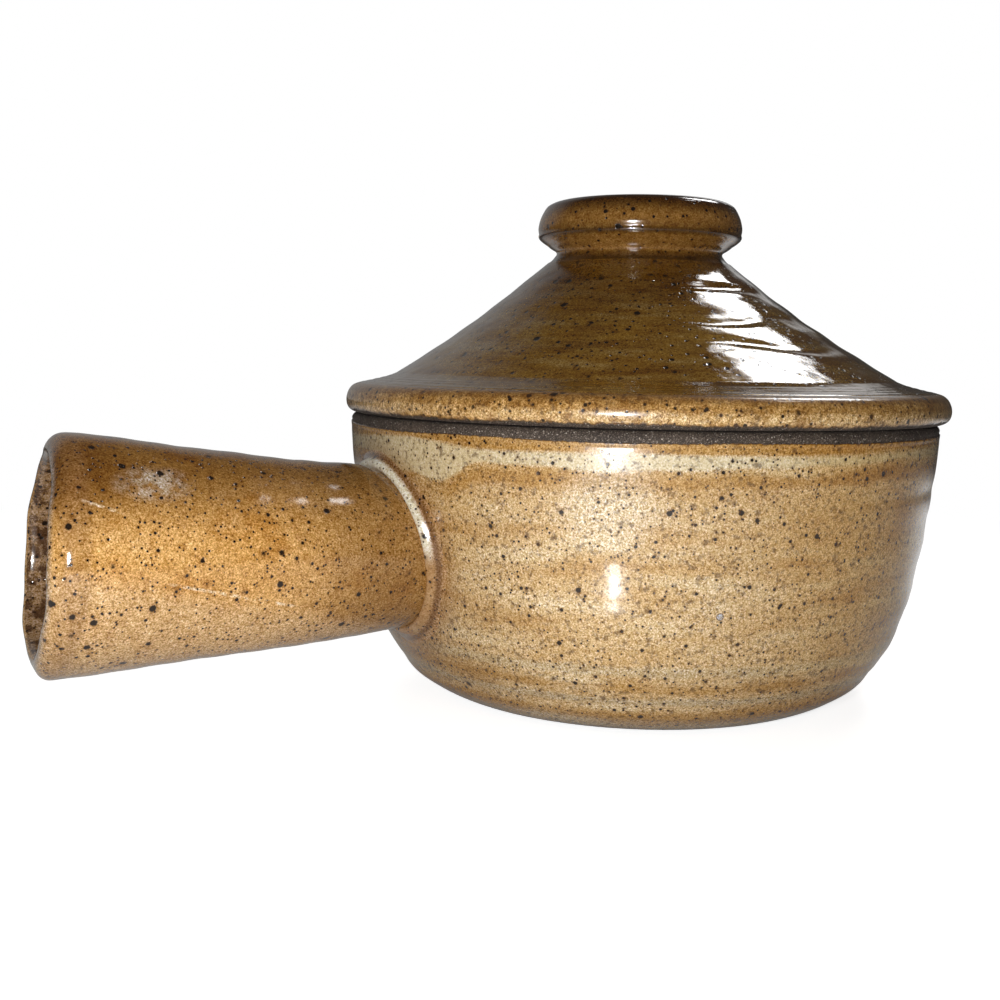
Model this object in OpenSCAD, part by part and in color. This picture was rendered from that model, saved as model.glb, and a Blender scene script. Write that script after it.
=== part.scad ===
// Lidded soup bowl in thrown stoneware, with a hollow side handle and a loose lid.
// Millimetres. The origin is the centre of the foot, +Z is up and the handle points along -X.

/* [Bowl] */
// Height of the bowl from the foot to the rim
bowl_h = 61.5; // [54:0.5:72]
// Outer diameter of the rim
rim_d = 129.8; // [120:0.2:140]
// Diameter of the flat foot
foot_d = 81; // [74:0.5:90]
// Thickness of the wall at the rim
wall_t = 5.2; // [4.2:0.1:6.4]
// Thickness of the floor
floor_t = 6; // [4.5:0.1:8]
// How far the cavity's floor stops short of the foot's edge
heel_inset = 2; // [0:0.1:5]
// Share of the overhang that the heel takes before it turns up
heel_reach = 0.68; // [0.5:0.01:0.74]
// Share of the height that the heel climbs before it turns up
heel_rise = 0.066; // [0.04:0.002:0.1]
// Share of the overhang that the upper wall still flares by
wall_flare = 0.12; // [0.06:0.01:0.2]
// Share of the height that the straight upper wall governs
wall_pull = 0.7; // [0.6:0.01:0.8]
// Radius that rounds the inner and outer edge of the rim
rim_round = 1.4; // [0.8:0.1:1.8]
// Chamfer round the foot, where the glaze is wiped away
foot_chamfer = 0.8; // [0.4:0.1:1.5]

/* [Throwing rings] */
// Height of one throwing ring on the bowl
bowl_ring_pitch = 8.5; // [7:0.5:12]
// Depth of the throwing rings on the bowl
bowl_ring_depth = 0.2; // [0:0.05:0.4]
// Width of one throwing ring on the lid, along the slope
lid_ring_pitch = 9; // [7:0.5:12]
// Depth of the throwing rings on the lid
lid_ring_depth = 0.35; // [0:0.05:0.6]

/* [Handle] */
// Distance from the bowl's axis to the handle's open end
handle_reach = 131.5; // [120:0.5:150]
// Height of the handle's axis above the foot, at the bowl's axis
handle_z = 32; // [30:0.2:36]
// Upward tilt of the handle in degrees
handle_tilt = 2.1; // [0:0.1:3.5]
// Outer diameter of the handle where it meets the bowl
handle_base_d = 31.4; // [28:0.2:35]
// Outer diameter of the handle at its open end
handle_mouth_d = 44.6; // [40:0.2:48]
// How much the handle's outline sags between its two ends
handle_waist = 0.1; // [0:0.1:1]
// Wall thickness of the handle
handle_wall = 4.5; // [3.6:0.1:5.5]

/* [Handle collar] */
// Width of the luting coil round the handle
collar_w = 3; // [2:0.1:4]
// How far the luting coil stands out from the bowl
collar_rise = 1.9; // [1.2:0.1:2.6]
// Share of the coil's width and rise that its crest keeps
collar_crest = 0.55; // [0.4:0.05:0.7]

/* [Lid] */
// Outer diameter of the lid
lid_d = 133; // [127:0.2:146]
// Height of the lid's edge band
lid_edge_t = 6.2; // [5.2:0.1:7.5]
// Radius that rounds the lid's edge
lid_edge_round = 2.4; // [1.6:0.1:2.5]
// Width of the flat ledge round the lid
ledge_w = 11.2; // [9:0.1:13]
// Rise of the ledge towards the cone
ledge_rise = 2.4; // [1.2:0.1:3.6]
// Height of the lid's cone above the ledge
cone_h = 24.9; // [20:0.1:32]
// How far the cone's side sags inwards between its two ends
cone_sag = 0.8; // [0:0.1:1.4]
// Wall thickness of the lid
lid_wall = 4.8; // [4:0.1:5.6]

/* [Lid flange] */
// Depth of the ring that drops into the bowl
flange_h = 7; // [5:0.1:9]
// Thickness of the ring
flange_t = 4.2; // [3.4:0.1:5]
// Bevel on the ring's lower outer edge
flange_bevel = 1.2; // [0.6:0.1:1.6]

/* [Knob] */
// Diameter of the knob's neck
neck_d = 36.8; // [33:0.2:39]
// Height of the neck, up to where the knob flares
neck_h = 3.3; // [2.4:0.1:4.4]
// Radius of the fillet between the neck and the cone
neck_fillet = 2; // [1:0.1:2.3]
// Widest diameter of the knob
knob_d = 45.2; // [43:0.2:50]
// Radius of the roll under the knob's band
knob_roll = 2.6; // [1.6:0.1:3.4]
// How much the band narrows towards its top
knob_taper = 1.2; // [0:0.1:1.8]
// Height of the knob's flared band
knob_band_h = 10.1; // [8:0.1:13]
// Width of the knob's rounded wall at its top
knob_wall = 4.6; // [3.8:0.1:5.6]
// Depth of the dish in the knob's top
knob_dish = 5; // [3:0.1:6.5]
// Width over which the dish slopes down to its floor
knob_dish_slope = 2.6; // [1.5:0.1:4]

/* [Fits] */
// Gap between the bowl's rim and the lid that rests on it
seat_gap = 0.2; // [0.1:0.05:0.4]
// Gap all round between the lid's ring and the bowl's mouth
flange_gap = 1.5; // [1:0.1:2]

/* [Hidden] */
$fn = 96;

// Number of straight steps along each curved outline
outline_steps = 28;
arc_steps = 5;
handle_steps = 8;

rim_r = rim_d / 2;
foot_r = foot_d / 2;
overhang = rim_r - foot_r;
mouth_r = rim_r - wall_t;

handle_base_r = handle_base_d / 2;
handle_mouth_r = handle_mouth_d / 2;
handle_lip = handle_wall / 2;

lid_r = lid_d / 2;
lid_z = bowl_h + seat_gap;
ledge_r = lid_r - ledge_w;
cone_z = lid_z + lid_edge_t + ledge_rise;
knob_z = cone_z + cone_h;
neck_r = neck_d / 2;
cone_top_r = neck_r + neck_fillet;
knob_r = knob_d / 2;

flange_r = mouth_r - flange_gap;
flange_inner_r = flange_r - flange_t;

// Colours of the fired pieces
glaze_tan = [0.67, 0.51, 0.31];
glaze_amber = [0.66, 0.44, 0.22];
glaze_cream = [0.82, 0.76, 0.62];
glaze_olive = [0.42, 0.32, 0.17];
bare_clay = [0.33, 0.28, 0.24];

// Point at parameter t on a cubic curve through four control points
function curve_point(p, t) =
    pow(1 - t, 3) * p[0] + 3 * pow(1 - t, 2) * t * p[1] + 3 * (1 - t) * t * t * p[2] + pow(t, 3) * p[3];

// Control points of the bowl's wall between a low point and a rim point
function wall_controls(low, high) = [
    low,
    low + [heel_reach * overhang, heel_rise * bowl_h],
    high - [wall_flare * overhang, wall_pull * (high[1] - low[1])],
    high
];

// Points of a round edge about a centre, from one angle to another
function round_edge(centre, r, from, to) =
    [for (i = [0:arc_steps]) let (a = from + (to - from) * i / arc_steps) centre + r * [cos(a), sin(a)]];

// Ripple of the throwing rings, which fades out at both ends of the stretch
function ripple(distance, share, pitch, depth) = -depth * (1 - cos(360 * distance / pitch)) * sin(180 * share);

// Outer outline of the bowl from the foot to the start of the rim's rounding
outer_line = [
    for (i = [0:outline_steps])
        let (p = curve_point(wall_controls([foot_r, 0], [rim_r, bowl_h]), i / outline_steps))
        if (p[1] > foot_chamfer && p[1] < bowl_h - rim_round)
            p + [ripple(p[1], i / outline_steps, bowl_ring_pitch, bowl_ring_depth), 0]
];

// Cavity outline from the rim's rounding down to the floor
cavity_line = [
    for (i = [outline_steps:-1:0])
        let (p = curve_point(wall_controls([foot_r - heel_inset, floor_t], [mouth_r, bowl_h]), i / outline_steps))
        if (p[1] < bowl_h - rim_round)
            p
];

// Outer outline of the cone, from the ledge up to the knob's neck
cone_foot = [ledge_r, cone_z];
cone_top = [cone_top_r, knob_z];
cone_length = norm(cone_foot - cone_top);

// Direction that points squarely into the lid's wall from the cone
cone_inward = -[cone_h, ledge_r - cone_top_r] / cone_length;

cone_line = [
    for (i = [1:outline_steps - 1])
        let (share = i / outline_steps)
        let (ring = ripple(share * cone_length, share, lid_ring_pitch, lid_ring_depth))
        cone_foot + (cone_top - cone_foot) * share + (cone_sag * sin(180 * share) - ring) * cone_inward
];

// The bowl's full outer shape, without its cavity
module bowl_outside() {
    rotate_extrude()
        polygon(concat(
            [[0, 0], [foot_r - foot_chamfer, 0]],
            outer_line,
            round_edge([rim_r - rim_round, bowl_h - rim_round], rim_round, 0, 90),
            [[0, bowl_h]]
        ));
}

module bowl_body() {
    color(glaze_tan)
        rotate_extrude()
            polygon(concat(
                [[0, 0], [foot_r - foot_chamfer, 0]],
                outer_line,
                round_edge([rim_r - rim_round, bowl_h - rim_round], rim_round, 0, 90),
                round_edge([mouth_r + rim_round, bowl_h - rim_round], rim_round, 90, 180),
                cavity_line,
                [[0, floor_t]]
            ));
}

// Places something along the handle's axis, which starts at the bowl's axis
module along_handle() {
    translate([0, 0, handle_z])
        rotate([0, handle_tilt - 90, 0])
            children();
}

// Radius of the handle's outside at a share of its length
function handle_r(share) =
    handle_base_r + (handle_mouth_r - handle_base_r) * share - handle_waist * sin(180 * share);

// The handle's outline starts inside the bowl's wall and is cut back to the bowl's surface
handle_start = mouth_r - handle_base_r / 2;
handle_end = handle_reach - handle_lip;

function handle_line(inset) = [
    for (i = [0:handle_steps])
        let (share = i / handle_steps)
        [handle_r(share) - inset, handle_start + (handle_end - handle_start) * share]
];

function reversed(list) = [for (i = [len(list) - 1:-1:0]) list[i]];

module handle() {
    color(glaze_amber)
        difference() {
            along_handle()
                rotate_extrude()
                    polygon(concat(
                        handle_line(0),
                        round_edge([handle_mouth_r - handle_lip, handle_end], handle_lip, 30, 150),
                        reversed(handle_line(handle_wall))
                    ));
            bowl_outside();
        }
}

// A shell of one height over the bowl's surface
module bowl_grown(rise) {
    rotate_extrude()
        polygon(concat(
            [[0, 0], [foot_r + rise, 0]],
            [for (p = outer_line) p + [rise, 0]],
            [[rim_r + rise, bowl_h], [0, bowl_h]]
        ));
}

// The solid space that the handle fills, as a plug with a straight side
module handle_plug(extra) {
    along_handle()
        rotate_extrude()
            polygon(concat(
                [[0, handle_start]],
                handle_line(-extra),
                [[0, handle_end]]
            ));
}

module collar_band(width, rise) {
    intersection() {
        handle_plug(width);
        bowl_grown(rise);
    }
}

module handle_collar() {
    color(glaze_cream)
        difference() {
            union() {
                collar_band(collar_w, collar_rise * collar_crest);
                collar_band(collar_w * collar_crest, collar_rise);
            }
            bowl_outside();
            handle_plug(0);
        }
}

// The dome's hollow starts at the ring and runs parallel to the cone
dome_foot = [flange_inner_r, lid_z];
dome_low = cone_foot + lid_wall * cone_inward;
dome_high = cone_top + lid_wall * cone_inward;
dome_slope = (dome_high[1] - dome_low[1]) / (dome_high[0] - dome_low[0]);
dome_shoulder_r = min(dome_low[0], flange_inner_r);
dome_shoulder = [dome_shoulder_r, dome_low[1] + (dome_shoulder_r - dome_low[0]) * dome_slope];
dome_line = [
    for (i = [outline_steps:-1:0])
        let (share = i / outline_steps)
        dome_shoulder + (dome_high - dome_shoulder) * share + cone_sag * sin(180 * share) * cone_inward
];

module lid() {
    color(glaze_olive)
        rotate_extrude()
            polygon(concat(
                [dome_foot],
                round_edge([lid_r - lid_edge_round, lid_z + lid_edge_round], lid_edge_round, -90, 0),
                round_edge([lid_r - lid_edge_round, lid_z + lid_edge_t - lid_edge_round], lid_edge_round, 0, 75),
                [cone_foot],
                cone_line,
                [cone_top, [0, knob_z], [0, dome_high[1]]],
                dome_line
            ));
}

module lid_flange() {
    color(bare_clay)
        rotate_extrude()
            polygon([
                [flange_inner_r, lid_z],
                [flange_inner_r, lid_z - flange_h],
                [flange_r - flange_bevel, lid_z - flange_h],
                [flange_r, lid_z - flange_h + flange_bevel],
                [flange_r, lid_z]
            ]);
}

// A neck on a fillet, a band with a roll below it, and a rounded wall round a shallow dish
module lid_knob() {
    band_z = knob_z + neck_h;
    top_z = band_z + knob_band_h;
    top_round = knob_wall / 2;
    top_r = knob_r - knob_taper - top_round;
    roll = min(knob_roll, knob_r - neck_r);
    dish_r = top_r - top_round - knob_dish_slope;
    color(glaze_amber)
        rotate_extrude()
            polygon(concat(
                [[0, knob_z]],
                round_edge([cone_top_r, knob_z + neck_fillet], neck_fillet, 270, 180),
                [[neck_r, band_z]],
                round_edge([knob_r - roll, band_z + roll], roll, -90, 0),
                round_edge([top_r, top_z - top_round], top_round, 0, 160),
                [[dish_r, top_z - knob_dish], [0, top_z - knob_dish]]
            ));
}

bowl_body();
handle();
handle_collar();
lid();
lid_flange();
lid_knob();
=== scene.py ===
import math

import bpy
import numpy as np
from mathutils import Matrix, Vector


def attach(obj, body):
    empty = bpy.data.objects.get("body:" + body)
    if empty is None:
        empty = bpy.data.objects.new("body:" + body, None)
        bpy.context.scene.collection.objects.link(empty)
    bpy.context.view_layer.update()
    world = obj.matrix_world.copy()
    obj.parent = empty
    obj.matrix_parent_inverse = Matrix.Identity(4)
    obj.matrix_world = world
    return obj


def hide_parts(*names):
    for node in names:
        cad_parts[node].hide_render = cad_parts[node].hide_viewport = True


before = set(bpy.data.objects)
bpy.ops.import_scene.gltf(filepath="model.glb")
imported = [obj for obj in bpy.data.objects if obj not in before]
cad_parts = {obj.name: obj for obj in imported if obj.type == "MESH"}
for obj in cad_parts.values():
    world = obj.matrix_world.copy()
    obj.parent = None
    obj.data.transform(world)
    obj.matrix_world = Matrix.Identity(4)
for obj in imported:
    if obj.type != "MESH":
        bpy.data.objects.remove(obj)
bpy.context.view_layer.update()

# A hand-thrown stoneware soup bowl with a loose conical lid and a hollow side handle.
# Lengths in this file are millimetres unless a comment says metres.
# The meshes are scaled to metres when they are made.
MM = 0.001


# Sizes of the CAD model

BOWL_H = 61.5
RIM_R = 64.9
FOOT_R = 40.5
WALL = 5.2
FLOOR = 6.0
HANDLE_REACH = 131.5
HANDLE_Z = 32.0
HANDLE_TILT = math.radians(2.1)
HANDLE_WALL = 4.5
LID_R = 66.5
LID_Z = 61.7
LID_WALL = 4.8
LEDGE_W = 11.2
CONE_Z = 70.3
CONE_SAG = 0.8
CONE_TOP_R = 20.4
KNOB_Z = 95.2
FLANGE_R = 58.2

# The photograph looks at the bowl from this direction, measured round +Z from +X.
VIEW = math.radians(234.5)
IMAGE_RIGHT = np.array([-math.sin(VIEW), math.cos(VIEW), 0])

# Angles round the turned pieces, and round the handle's own axis
TURNED_COLUMNS = 320
HANDLE_COLUMNS = 192
THETA = np.arange(TURNED_COLUMNS)[None, :] * 2 * math.pi / TURNED_COLUMNS
PHI = np.arange(HANDLE_COLUMNS) * 2 * math.pi / HANDLE_COLUMNS


# Outlines

def ease(a, b, x):
    """0 below a, 1 above b, and smooth between them."""
    t = np.clip((np.asarray(x, float) - a) / (b - a), 0, 1)
    return t * t * (3 - 2 * t)


def bump(x, centre, half):
    """1 at the centre, falling smoothly to 0 at half the width on either side."""
    return 1 - ease(0, half, np.abs(np.asarray(x, float) - centre))


def turned_from_view(degrees, half):
    """1 at an angle round the bowl from the camera's side towards its right, and 0 past half."""
    away = np.degrees(THETA - VIEW) - degrees
    return bump((away + 180) % 360 - 180, 0, half)


def spline(points, step):
    """Points about one step apart on a smooth curve through the given ones."""
    p = np.array(points, float)
    p = np.vstack([2 * p[0] - p[1], p, 2 * p[-1] - p[-2]])
    out = []
    for a, b, c, d in zip(p, p[1:], p[2:], p[3:]):
        n = max(1, int(round(np.linalg.norm(c - b) / step)))
        for t in np.arange(n) / n:
            curve = (2 * a - 5 * b + 4 * c - d) * t**2 + (3 * b - a - 3 * c + d) * t**3
            out.append(0.5 * (2 * b + (c - a) * t + curve))
    out.append(p[-2])
    return np.array(out)


def line(a, b, step):
    """Points from a up to but without b, about one step apart."""
    a, b = np.array(a, float), np.array(b, float)
    n = max(1, int(round(np.linalg.norm(b - a) / step)))
    return a + (b - a) * (np.arange(n) / n)[:, None]


def arc(centre, r, start, end, n):
    """Points on a round edge, from one angle in degrees to another."""
    a = np.radians(np.linspace(start, end, n + 1))
    return np.array(centre) + r * np.stack([np.cos(a), np.sin(a)], -1)


# How the wall's curve leaves its low point, as shares of the overhang and of the bowl's height,
# and how it comes to its high point, as shares of the overhang and of its own height
HEEL_OUT = 0.68
HEEL_UP = 0.066
TOP_IN = 0.12
TOP_DOWN = 0.7


def wall_curve(low, high, step):
    """The bowl's wall curve between a low and a high point."""
    overhang = RIM_R - FOOT_R
    p = [
        np.array(low),
        np.array(low) + [HEEL_OUT * overhang, HEEL_UP * BOWL_H],
        np.array(high) - [TOP_IN * overhang, TOP_DOWN * (high[1] - low[1])],
        np.array(high),
    ]
    t = np.linspace(0, 1, 600)[:, None]
    left = 1 - t
    curve = left**3 * p[0] + 3 * left**2 * t * p[1] + 3 * left * t * t * p[2] + t**3 * p[3]
    length = np.concatenate([[0], np.cumsum(np.linalg.norm(np.diff(curve, axis=0), axis=1))])
    at = np.linspace(0, length[-1], max(2, int(length[-1] / step)))
    return np.stack([np.interp(at, length, curve[:, 0]), np.interp(at, length, curve[:, 1])], -1)


# Meshes

def grid_faces(rows, columns, loop):
    """Quads of a grid that is closed along its columns, and along its rows too if loop is set."""
    i = np.arange(rows if loop else rows - 1)[:, None]
    j = np.arange(columns)[None, :]
    i2, j2 = (i + 1) % rows, (j + 1) % columns
    quads = np.stack([i * columns + j, i * columns + j2, i2 * columns + j2, i2 * columns + j], -1)
    return quads.reshape(-1, 4).tolist()


def add_piece(name, points, faces, body, nodes, marks):
    """Makes one piece from points in millimetres. marks holds values for each point."""
    mesh = bpy.data.meshes.new(name)
    mesh.from_pydata((points * MM).tolist(), [], faces)
    for mark, values in marks.items():
        layer = mesh.attributes.new(mark, "FLOAT", "POINT")
        layer.data.foreach_set("value", np.ascontiguousarray(values, dtype=np.float32))
    mesh.polygons.foreach_set("use_smooth", [True] * len(mesh.polygons))
    mesh.update()
    piece = bpy.data.objects.new(name, mesh)
    bpy.context.collection.objects.link(piece)
    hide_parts(*nodes)
    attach(piece, body)
    return piece


def add_turned(name, r, z, poles, body, nodes, marks, warp=None):
    """A turned piece. r, z and each mark hold one row per outline point and one column per angle.
    poles gives the height of the first and last point on the axis, or None for a ring."""
    rows, columns = r.shape
    points = np.stack([r * np.cos(THETA), r * np.sin(THETA), z], -1).reshape(-1, 3)
    faces = grid_faces(rows, columns, poles is None)
    marks = {k: v.reshape(-1) for k, v in marks.items()}
    if poles is not None:
        first, last = rows * columns, rows * columns + 1
        points = np.vstack([points, [[0, 0, poles[0]], [0, 0, poles[1]]]])
        top = (rows - 1) * columns
        faces += [[first, (j + 1) % columns, j] for j in range(columns)]
        faces += [[last, top + j, top + (j + 1) % columns] for j in range(columns)]
        marks = {k: np.append(v, [v[0], v[-1]]) for k, v in marks.items()}
    if warp is not None:
        points = warp(points)
    return add_piece(name, points, faces, body, nodes, marks)


# Bowl

# Heights of the glaze's edge, of the hollow underside and of the cream ring, the lip's radius
# and its points along each half, and how far the floor rises in the middle
GLAZE_EDGE_Z = 59.7
LIP = 1.4
LIP_ROWS = 7
UNDER_Z = 0.75
POOL_LOW = 54.6
POOL_HIGH = 57.0
FLOOR_RISE = 0.5


def bowl_rings(z):
    """Ridges and hollows that the potter's fingers left on the wall, in millimetres."""
    fade = ease(2, 9, z) * (1 - ease(46, 52, z))
    depth = 0.035 + 0.1 * np.sin(THETA - VIEW) ** 2
    wide = np.cos(2 * math.pi * (z / 8.5 + 0.3 * np.sin(z / 9.0)) + 0.5 * np.sin(THETA + 0.4))
    narrow = np.cos(2 * math.pi * (z / 3.3) + THETA)
    heel = 0.3 * bump(z, 5.2, 2.2) - 0.25 * bump(z, 8.2, 2.0)
    return fade * (depth * (wide - 1) + 0.012 * narrow) + heel


def bowl_shoulder(z):
    """The roll of thick glaze below the rim, fullest on the camera's side."""
    height = 0.1 + 0.4 * turned_from_view(-8, 60)
    return height * ease(46.8, 53.3, z) * (1 - np.clip((z - 53.3) / 5.7, 0, 1))


def bowl_outline():
    """From the middle of the underside, out and up the wall, over the rim and down to the floor."""
    wall_top = 58.1
    lip_z = BOWL_H - LIP
    floor_rows = 40
    outer = wall_curve([FOOT_R, 0], [RIM_R, BOWL_H], 0.55)
    outer = outer[(outer[:, 1] > 0.85) & (outer[:, 1] < wall_top)]
    edge_z = GLAZE_EDGE_Z + np.array([
        -1.3, -0.95, -0.7, -0.5, -0.36, -0.25, -0.16, -0.07, 0.0, 0.07, 0.16, 0.3, 0.5,
    ])
    edge_r = np.interp(edge_z, [wall_top, BOWL_H], [outer[-1, 0], RIM_R])
    inner = wall_curve([FOOT_R - 2, FLOOR], [RIM_R - WALL, BOWL_H], 0.9)
    inner = inner[inner[:, 1] < lip_z - 0.1][::-1]
    floor_r = np.linspace(inner[-1, 0] - 1, 1.2, floor_rows)
    floor = np.stack([floor_r, np.full(floor_rows, FLOOR)], -1)
    return np.vstack([
        line([1.2, UNDER_Z], [33.5, 0.65], 1.4),
        spline([[33.5, 0.65], [35.2, 0.5], [36.4, 0.12], [37.4, 0.02]], 0.5)[:-1],
        spline([[37.4, 0.02], [39.4, 0.02], [40.4, 0.2], [41.6, 0.44], outer[0]], 0.5)[:-1],
        outer,
        np.stack([edge_r, edge_z], -1),
        arc([RIM_R - LIP, lip_z], LIP, 12, 90, LIP_ROWS),
        arc([RIM_R - WALL + LIP, lip_z], LIP, 90, 180, LIP_ROWS),
        inner,
        floor,
    ])


def bowl_bands(z):
    """Marks for the cream ring, the brown bands and the pale bands on the wall.
    Under the rim the glaze breaks brown. Below that it pools in a cream ring that sags beside
    the handle and thins towards the right, with an amber band under it."""
    sag = 3.6 * turned_from_view(-35, 9) + 3.0 * turned_from_view(-47, 14)
    to_right = ease(5, 45, np.degrees(THETA - VIEW + math.pi) % 360 - 180)
    low = POOL_LOW + 1.0 * to_right - sag + 0.3 * np.sin(9 * THETA) + 0.15 * np.sin(23 * THETA + 1)
    high = POOL_HIGH + 0.5 * to_right + 1.4 * turned_from_view(-44, 20) + 0.2 * np.sin(6 * THETA + 2)
    pool = (1 - 0.35 * to_right) * ease(low - 1.2, low + 1.0, z)
    pool = pool * (1 - ease(high - 1.1, high + 1.1, z))
    brown = ease(high - 0.4, high + 0.9, z)
    brown = brown + 0.85 * bump(z, low - 2.6, 3.0) * (1 - turned_from_view(-42, 16))
    # A browner patch on the camera's right, partly the glaze's colour and partly a painted dark reflection.
    brown = brown + 0.75 * bump(z, 45, 10) * turned_from_view(56, 17)
    brown = brown + 0.75 * bump(z, 12.2, 2.2) + 0.9 * bump(z, 5.6, 2.8)
    pale = bump(z, 15.8, 2.4) + bump(z, 9.3, 1.8) + 0.8 * bump(z, 2.6, 1.6)
    return pool, np.clip(brown, 0, 1), pale


def make_bowl():
    """The thrown bowl, with its glazed wall, bare rim band, bare foot ring and inside."""
    outline = bowl_outline()
    under_rows = 1 + int(np.argmax((outline[:, 0] > 41) & (outline[:, 1] > 0.3)))
    top_row = int(np.argmax(outline[:, 1]))

    # Radius and height of the plain turned shape, one row per outline point
    r0 = outline[:, :1] + 0 * THETA
    z0 = outline[:, 1:] + 0 * THETA
    row = np.arange(len(outline))[:, None] + 0 * THETA
    outside = ((row >= under_rows) & (row <= top_row)).astype(float)
    past_lip = row > top_row + LIP_ROWS
    inside = past_lip.astype(float)

    relief = outside * (bowl_rings(z0) + bowl_shoulder(z0))
    lobes = 0.22 * np.cos(2 * THETA + 0.6) + 0.12 * np.cos(3 * THETA + 2.0) + 0.05 * np.cos(7 * THETA)
    r = r0 + relief + lobes * ease(1, 20, z0)
    spiral = np.cos(2 * math.pi * (r0 / 6.5) - THETA)
    on_floor = inside * (z0 < FLOOR + 0.01)
    z = z0 + on_floor * (0.22 * spiral * ease(2, 10, r0) + FLOOR_RISE * (1 - ease(0, 30, r0)))
    r = r + inside * (z0 > FLOOR + 3) * 0.22 * np.cos(2 * math.pi * z0 / 9 - THETA)

    # The glaze ends in a wavy line below the rim, and the clay above it is bare and lower.
    wave = (
        -0.45 * np.cos(THETA - math.radians(240)) + 0.1 * np.sin(3 * THETA + 1)
        + 0.06 * np.sin(7 * THETA + 2) + 0.035 * np.sin(13 * THETA) + 0.025 * np.sin(29 * THETA + 1)
        + 0.2 * turned_from_view(-26, 16) - 0.12 * turned_from_view(-2, 14)
    )
    z = z + outside * bump(z0, GLAZE_EDGE_Z, 2.2) * wave
    bare_rim = ease(GLAZE_EDGE_Z - 0.3, GLAZE_EDGE_Z + 0.3, z0)
    bare_rim = np.where(past_lip, ease(58.6, 59.6, z0), bare_rim)
    step = ease(GLAZE_EDGE_Z - 0.08, GLAZE_EDGE_Z + 0.08, z0)
    r = r - 0.22 * step * outside + 0.03 * outside * bump(z0, GLAZE_EDGE_Z - 0.45, 0.6)
    bare_foot = np.where(row < under_rows, 1.0, outside * (1 - ease(0.7, 1.7, z0)))

    # Round the handle the glaze turns brown where it meets the collar.
    x, y = r * np.cos(THETA), r * np.sin(THETA)
    from_axis = np.hypot(y, z - HANDLE_Z + x * math.tan(HANDLE_TILT))
    joint = outside * (x < 0) * (1 - ease(19.0, 24.5, from_axis))
    pool, brown, pale = bowl_bands(z0)
    marks = {
        "bare": np.maximum(bare_rim, bare_foot), "outside": outside, "relief": relief,
        "pool": outside * pool, "brown": outside * brown, "pale": outside * pale, "joint": joint,
    }
    poles = (UNDER_Z, FLOOR + FLOOR_RISE)
    return add_turned("bowl_body_glazed", r, z, poles, "bowl", ["bowl_body"], marks)


# Handle

AXIS = np.array([-math.cos(HANDLE_TILT), 0, math.sin(HANDLE_TILT)])
NEAR = np.array([0.0, -1.0, 0.0])
UP = np.array([math.sin(HANDLE_TILT), 0, math.cos(HANDLE_TILT)])
ROUND = np.cos(PHI)[:, None] * NEAR + np.sin(PHI)[:, None] * UP
AXIS_START = np.array([0, 0, HANDLE_Z])

# How far the handle and its bore reach into the bowl's wall
SUNK = 0.8

# Values of the handle's mouth mark: where the wall turns in to the lip, on its crest, in the bore
LIP_START = 0.5
LIP_CREST = 1.0
BORE = 2.0


def handle_r(s):
    """Outer radius of the handle at a distance from the bowl's axis."""
    at = [45, 51.7, 60, 70, 81.4, 92, 102.8, 112, 120.6, 126, 131.5]
    radius = [15.0, 15.3, 16.1, 17.4, 18.6, 19.3, 20.0, 20.8, 21.6, 22.0, 22.3]
    return np.interp(s, at, radius)


def reach_to_bowl(radius, out):
    """Distance along the handle's axis, for each angle, where a radius meets the bowl, plus out."""
    wall = wall_curve([FOOT_R, 0], [RIM_R, BOWL_H], 0.3)
    s = np.full(len(PHI), 60.0)
    rounds = 30
    for _ in range(rounds):
        rad = radius(s) if callable(radius) else radius
        p = AXIS_START + s[:, None] * AXIS + np.reshape(rad, (-1, 1)) * ROUND
        target = np.interp(p[:, 2], wall[:, 1], wall[:, 0])
        s = s + 0.8 * (target - np.hypot(p[:, 0], p[:, 1]))
    return s + out


def handle_point(s, rad):
    """Points at distances s and radii rad, one for each angle, with the hand-made unevenness."""
    top = np.clip(np.sin(PHI), 0, 1) ** 2
    low = np.clip(-np.sin(PHI), 0, 1) ** 2
    sag_at = [62, 71, 77, 83, 89, 94, 100, 107, 114, 122, 132]
    sag = np.interp(s, sag_at, [0, 0.1, -0.4, -0.65, -0.5, -0.2, 0, 0.1, 0.35, 0.5, 0.45])
    belly = np.interp(s, [62, 80, 100, 118, 132], [0, -0.1, 0.1, 0.1, -0.1])
    facets = 0.1 * np.cos(5 * PHI + 0.05 * s) + 0.05 * np.cos(9 * PHI - 0.11 * s + 1)
    rings = 0.04 * np.cos(2 * math.pi * s / 7.5 + PHI) * ease(66, 76, s)
    rad = rad + top * sag + low * belly + facets + rings
    lean = -rad * (0.056 * np.sin(PHI) - 0.079 * np.cos(PHI)) * ease(88, HANDLE_REACH, s)
    wave = 0.25 * np.sin(2 * PHI + 1) + 0.2 * np.sin(5 * PHI) + 0.08 * np.sin(11 * PHI + 2)
    s = s + lean + wave * ease(115, HANDLE_REACH, s)
    return AXIS_START + s[:, None] * AXIS + rad[:, None] * ROUND


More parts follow.
